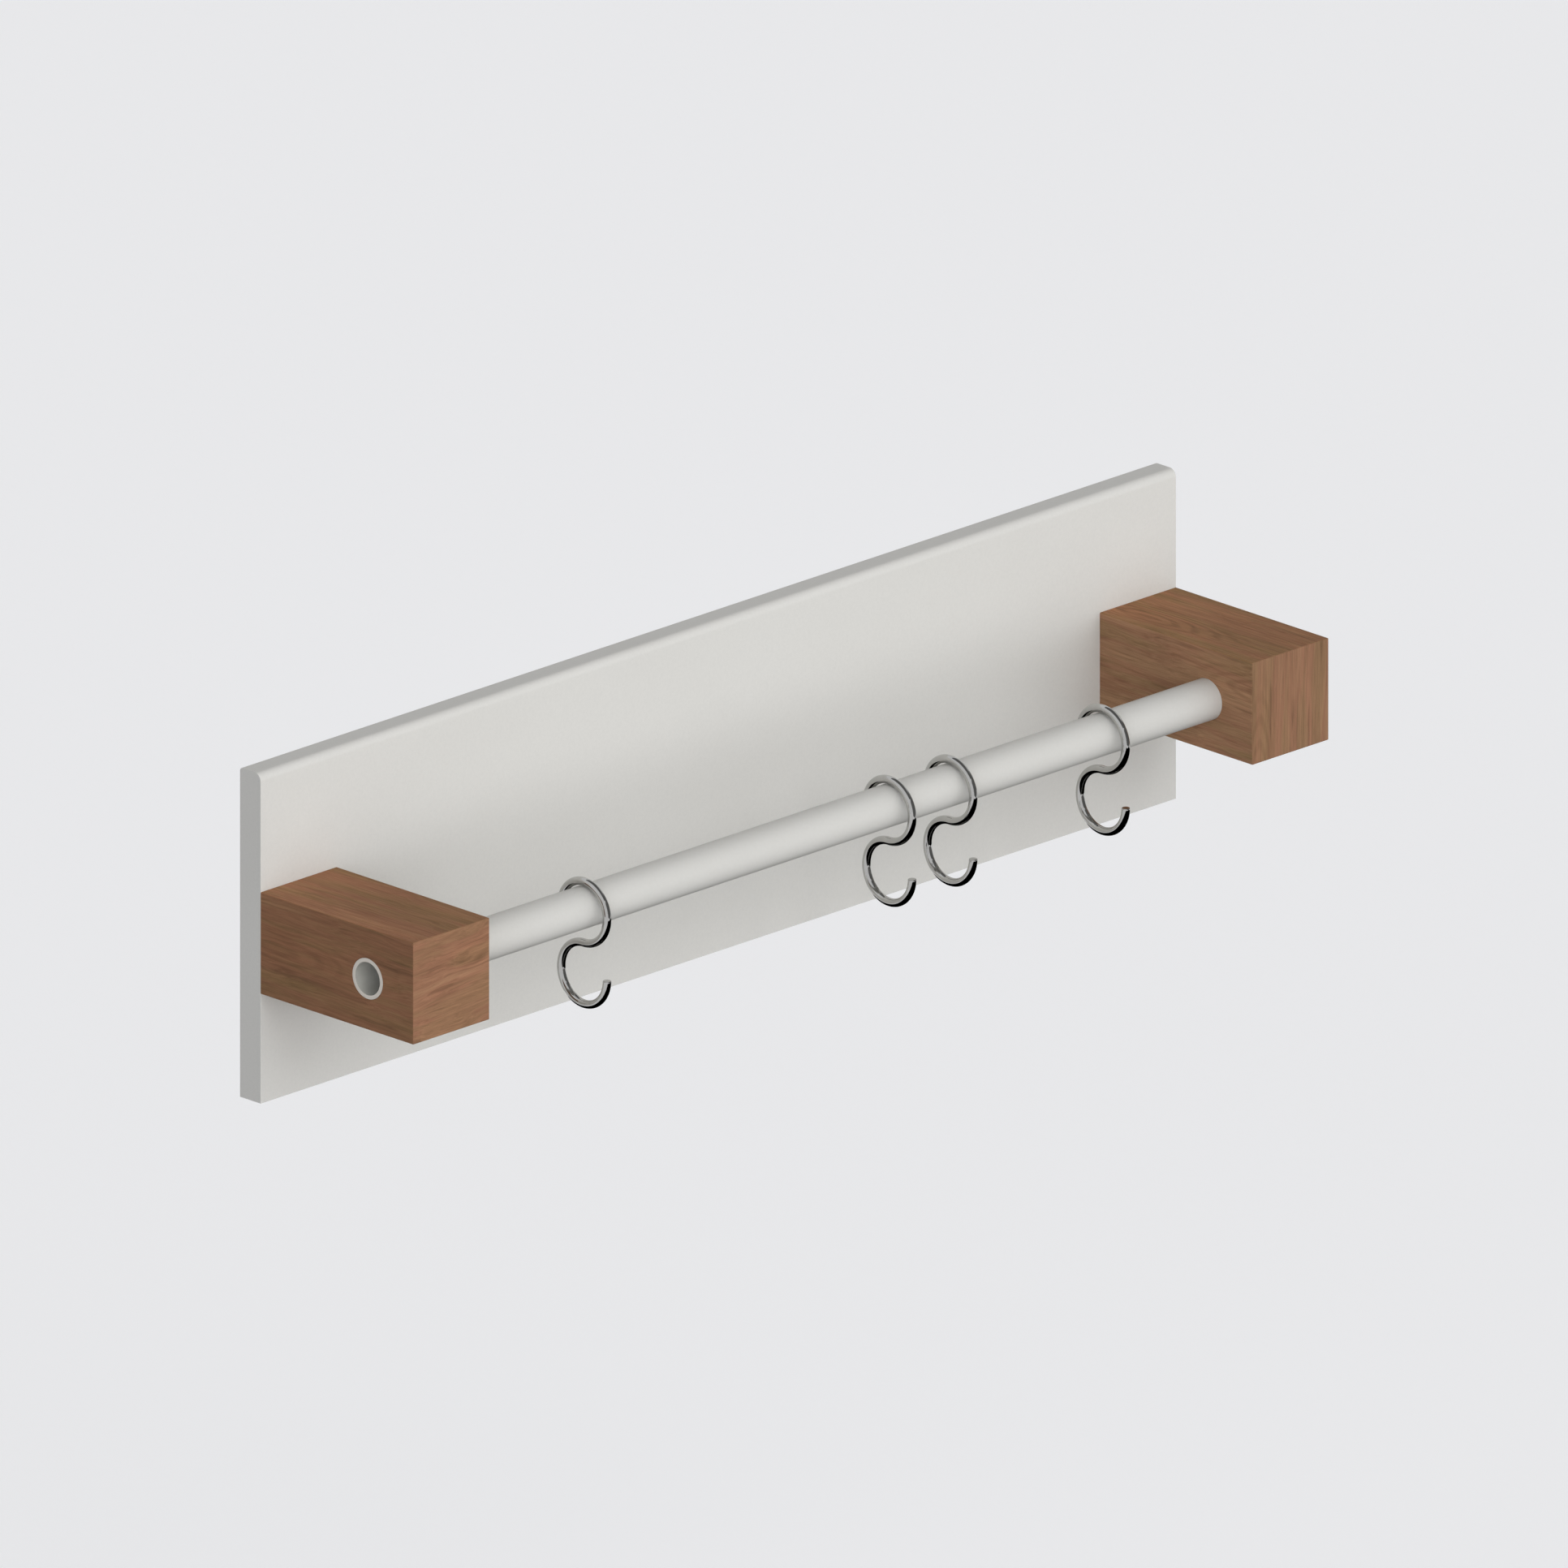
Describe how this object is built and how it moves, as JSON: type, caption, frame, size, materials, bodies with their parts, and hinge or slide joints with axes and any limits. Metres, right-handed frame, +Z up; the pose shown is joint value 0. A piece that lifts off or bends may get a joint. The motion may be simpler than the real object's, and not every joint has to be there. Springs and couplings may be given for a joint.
{
  "type": "kitchen utensil rail",
  "caption": "Wall rail for kitchen utensils: a painted board carries wooden end blocks that hold a round tube, with S hooks that slide along it.",
  "frame": {"origin": "centre of the board's back face, where it lies on the wall", "axes": "+X along the tube to the right, +Y into the wall, +Z up"},
  "size_m": [0.6, 0.1137, 0.162],
  "materials": {
    "board_paint": "satin white paint",
    "block_wood": "oiled walnut, satin",
    "rail_paint": "satin light grey paint",
    "hook_chrome": "polished",
    "plated_steel": "zinc plated"
  },
  "bodies": {
    "rail_unit": {"back_board": "board_paint", "block_left": "block_wood", "block_right": "block_wood", "rail_tube": "rail_paint", "hanger_plate_left": "plated_steel", "hanger_plate_right": "plated_steel", "block_screw_left_upper": "plated_steel", "block_screw_left_lower": "plated_steel", "block_screw_right_upper": "plated_steel", "block_screw_right_lower": "plated_steel", "rail_screw_left": "plated_steel", "rail_screw_right": "plated_steel", "plate_screw_left_upper": "plated_steel", "plate_screw_left_lower": "plated_steel", "plate_screw_right_upper": "plated_steel", "plate_screw_right_lower": "plated_steel"},
    "hook_1": {"hook_1": "hook_chrome"},
    "hook_2": {"hook_2": "hook_chrome"},
    "hook_3": {"hook_3": "hook_chrome"},
    "hook_4": {"hook_4": "hook_chrome"}
  },
  "joints": [
    {"name": "hook_1_slide", "type": "slide", "parent": "rail_unit", "child": "hook_1", "axis": [1, 0, 0], "range_m": [-0.0895, 0.0975]},
    {"name": "hook_2_slide", "type": "slide", "parent": "rail_unit", "child": "hook_2", "axis": [1, 0, 0], "range_m": [-0.0975, 0.0175]},
    {"name": "hook_3_slide", "type": "slide", "parent": "rail_unit", "child": "hook_3", "axis": [1, 0, 0], "range_m": [-0.0175, 0.0475]},
    {"name": "hook_4_slide", "type": "slide", "parent": "rail_unit", "child": "hook_4", "axis": [1, 0, 0], "range_m": [-0.0475, 0.0655]}
  ]
}
